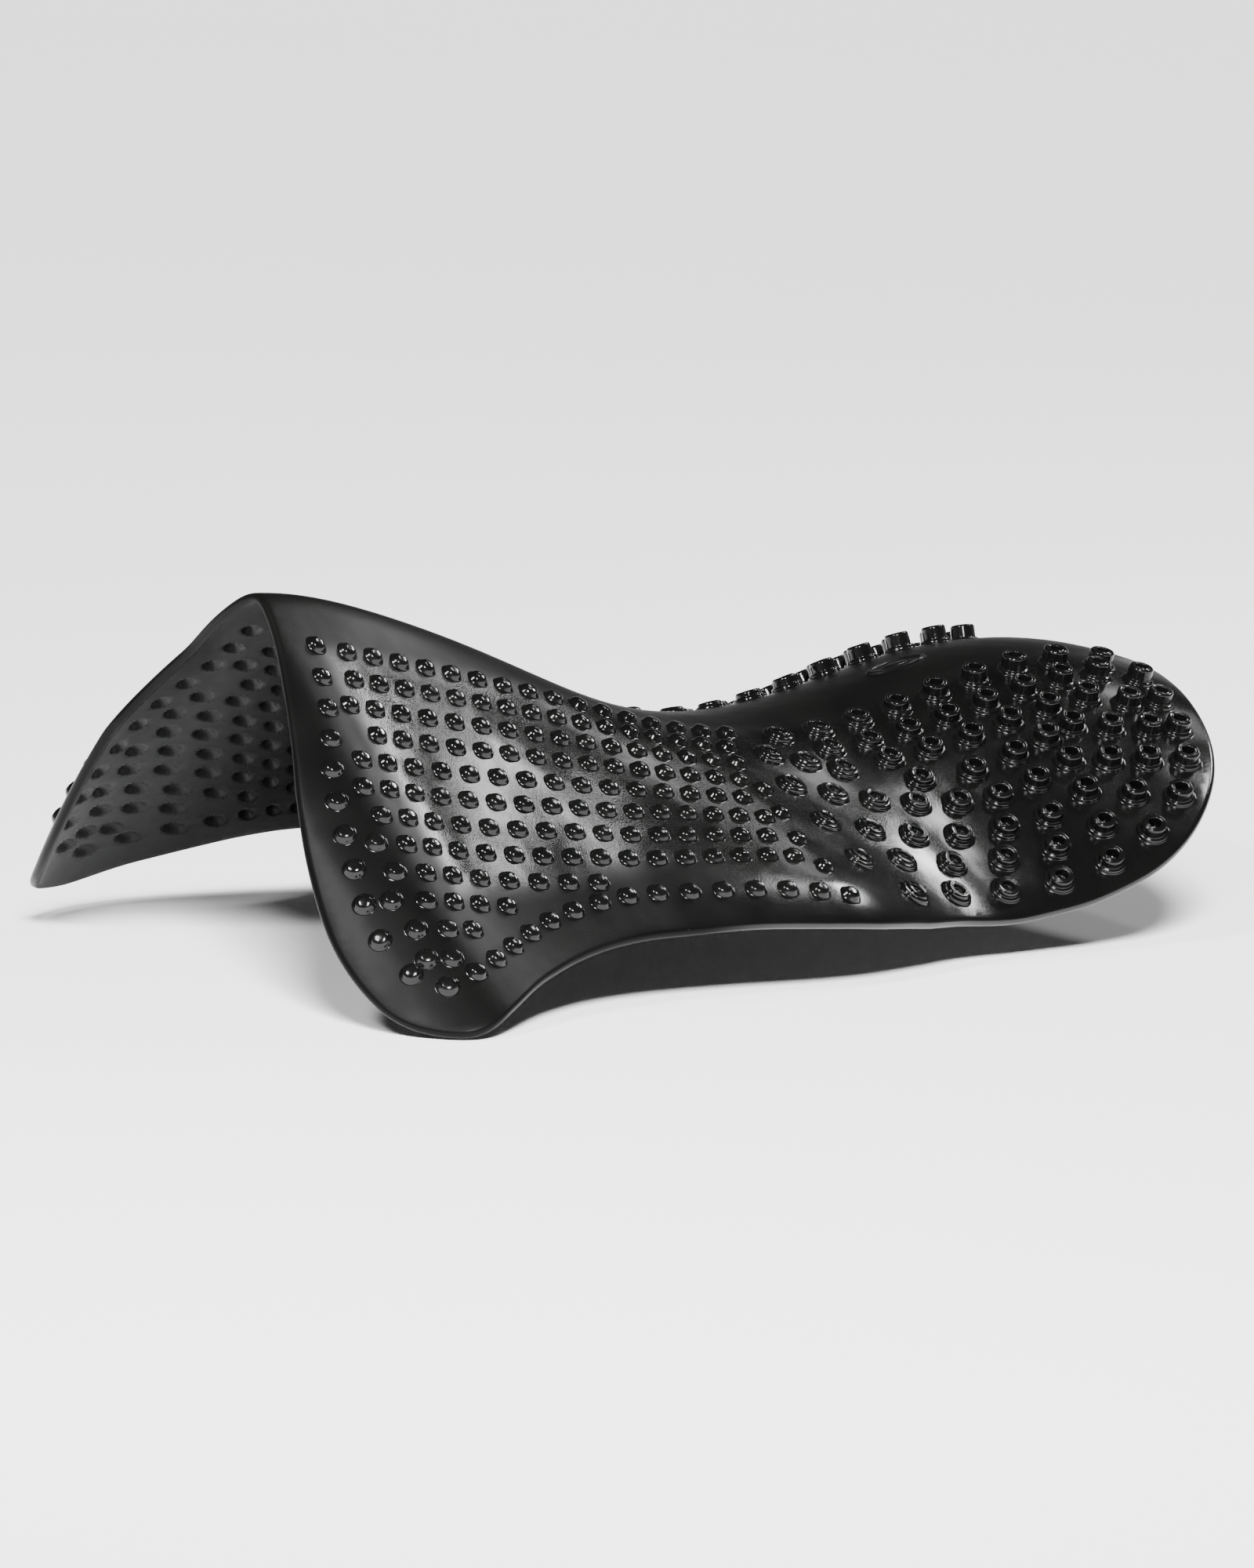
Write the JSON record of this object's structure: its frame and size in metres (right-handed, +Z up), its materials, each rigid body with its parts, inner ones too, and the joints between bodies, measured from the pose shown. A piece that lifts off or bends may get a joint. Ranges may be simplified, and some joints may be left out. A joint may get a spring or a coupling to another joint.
{
  "type": "gel saddle pad",
  "caption": "One-piece moulded gel saddle pad with a withers arch, two hanging flaps, massage domes and a rear riser of hollow ring studs.",
  "frame": {"origin": "on the underside of the sheet, at the lowest point of the spine, on the middle line of the pad", "axes": "+X along the spine towards the tail end, +Y towards the horse's right side, +Z up"},
  "size_m": [0.4789, 0.3411, 0.1529],
  "materials": {
    "gel_sheet": "glossy black gel with a fine pebbled skin",
    "gel_domes": "high gloss black gel",
    "gel_rings": "high gloss black gel",
    "gel_emblem": "glossy black gel"
  },
  "bodies": {
    "spine": {"spine_bridge": "gel_sheet", "withers_arch_bead": "gel_sheet", "tail_bead": "gel_sheet", "spine_emblem": "gel_emblem", "left_flex_web": "gel_sheet", "right_flex_web": "gel_sheet"},
    "left_flap": {"left_flap_panel": "gel_sheet", "left_rim_bead": "gel_sheet", "left_massage_domes": "gel_domes", "left_border_domes": "gel_domes", "left_low_ring_studs": "gel_rings", "left_mid_ring_studs": "gel_rings", "left_tall_ring_studs": "gel_rings"},
    "right_flap": {"right_flap_panel": "gel_sheet", "right_rim_bead": "gel_sheet", "right_massage_domes": "gel_domes", "right_border_domes": "gel_domes", "right_low_ring_studs": "gel_rings", "right_mid_ring_studs": "gel_rings", "right_tall_ring_studs": "gel_rings"}
  },
  "joints": [
    {"name": "left_flap_fold", "type": "hinge", "parent": "spine", "child": "left_flap", "pos_m": [0, -0.014, 0.022], "axis": [-0.995, 0, 0.0995], "range_deg": [-12, 18], "stiffness_Nm_per_rad": 6, "springref_deg": 3.15, "deforming": ["left_flex_web"]},
    {"name": "right_flap_fold", "type": "hinge", "parent": "spine", "child": "right_flap", "pos_m": [0, 0.014, 0.022], "axis": [0.995, 0, -0.0995], "range_deg": [-12, 18], "stiffness_Nm_per_rad": 6, "springref_deg": 3.15, "deforming": ["right_flex_web"]}
  ]
}
